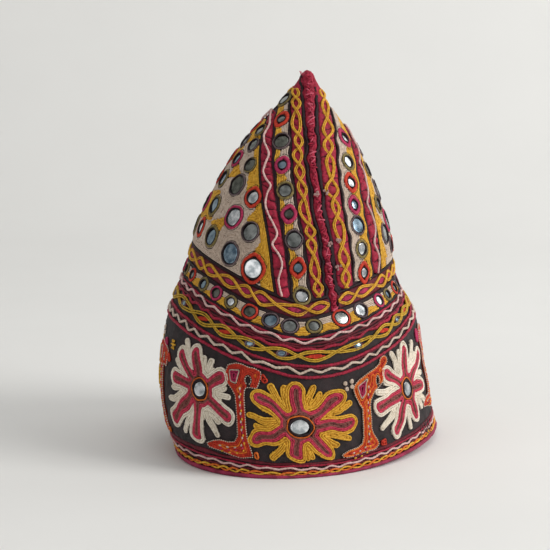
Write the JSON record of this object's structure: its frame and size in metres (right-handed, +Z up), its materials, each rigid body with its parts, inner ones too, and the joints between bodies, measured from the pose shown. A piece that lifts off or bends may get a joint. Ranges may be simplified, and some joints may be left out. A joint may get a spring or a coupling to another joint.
{
  "type": "embroidered cap",
  "caption": "Tall pointed cloth cap with a flowered band, striped two-panel crown, small mirror discs held by stitching, a lining and a bound hem.",
  "frame": {"origin": "on the ground, below the middle of the bounding box", "axes": "+Z up through the point of the crown, -Y out of the front of the band, +X to the side the crown leans to"},
  "size_m": [0.186, 0.2086, 0.2445],
  "materials": {
    "indigo_cloth": "dark plain-woven cotton ground",
    "maroon_cloth": "plain-woven cotton",
    "magenta_cloth": "plain-woven cotton binding",
    "lining_cloth": "plain-woven cotton",
    "maroon_thread": "silk thread, couched rows with a soft sheen",
    "yellow_thread": "silk thread, close rows with a soft sheen",
    "cream_thread": "silk thread, close rows with a soft sheen",
    "orange_thread": "silk thread, couched rows with a soft sheen",
    "mirror_glass": "thin silvered glass, slightly uneven"
  },
  "bodies": {
    "root": {"band_cloth": "indigo_cloth", "base_chain_left": "yellow_thread", "base_chain_right": "yellow_thread", "bird_1": "orange_thread", "bird_2": "orange_thread", "bird_3": "orange_thread", "bird_4": "orange_thread", "bird_5": "orange_thread", "bird_6": "orange_thread", "chain_strip_back_left": "maroon_thread", "chain_strip_back_right": "maroon_thread", "chain_strip_front_left": "maroon_thread", "chain_strip_front_right": "maroon_thread", "crown_left": "maroon_cloth", "crown_right": "maroon_cloth", "eye_chain_band": "maroon_thread", "field_left": "yellow_thread", "field_mirror_left_1": "mirror_glass", "field_mirror_left_2": "mirror_glass", "field_mirror_left_3": "mirror_glass", "field_mirror_left_4": "mirror_glass", "field_mirror_right_1": "mirror_glass", "field_mirror_right_2": "mirror_glass", "field_mirror_right_3": "mirror_glass", "field_mirror_right_4": "mirror_glass", "field_right": "yellow_thread", "flower_1": "cream_thread", "flower_2": "yellow_thread", "flower_3": "cream_thread", "flower_4": "yellow_thread", "flower_5": "cream_thread", "flower_6": "yellow_thread", "flower_7": "cream_thread", "flower_mirror_1": "mirror_glass", "flower_mirror_2": "mirror_glass", "flower_mirror_3": "mirror_glass", "flower_mirror_4": "mirror_glass", "flower_mirror_5": "mirror_glass", "flower_mirror_6": "mirror_glass", "flower_mirror_7": "mirror_glass", "hem_binding": "magenta_cloth", "hem_chain_band": "yellow_thread", "hem_zigzag_band": "maroon_thread", "lining_band": "lining_cloth", "lining_left": "lining_cloth", "lining_right": "lining_cloth", "lower_zigzag_band": "maroon_thread", "mirror_band": "yellow_thread", "mirror_strip_back_left": "yellow_thread", "mirror_strip_back_right": "yellow_thread", "mirror_strip_front_left": "yellow_thread", "mirror_strip_front_right": "yellow_thread", "point_tuft": "maroon_thread", "seam_tape_back": "maroon_thread", "seam_tape_front": "maroon_thread", "upper_zigzag_band": "maroon_thread", "wave_strip_back_left": "maroon_thread", "wave_strip_back_right": "maroon_thread", "wave_strip_front_left": "maroon_thread", "wave_strip_front_right": "maroon_thread"}
  },
  "joints": []
}
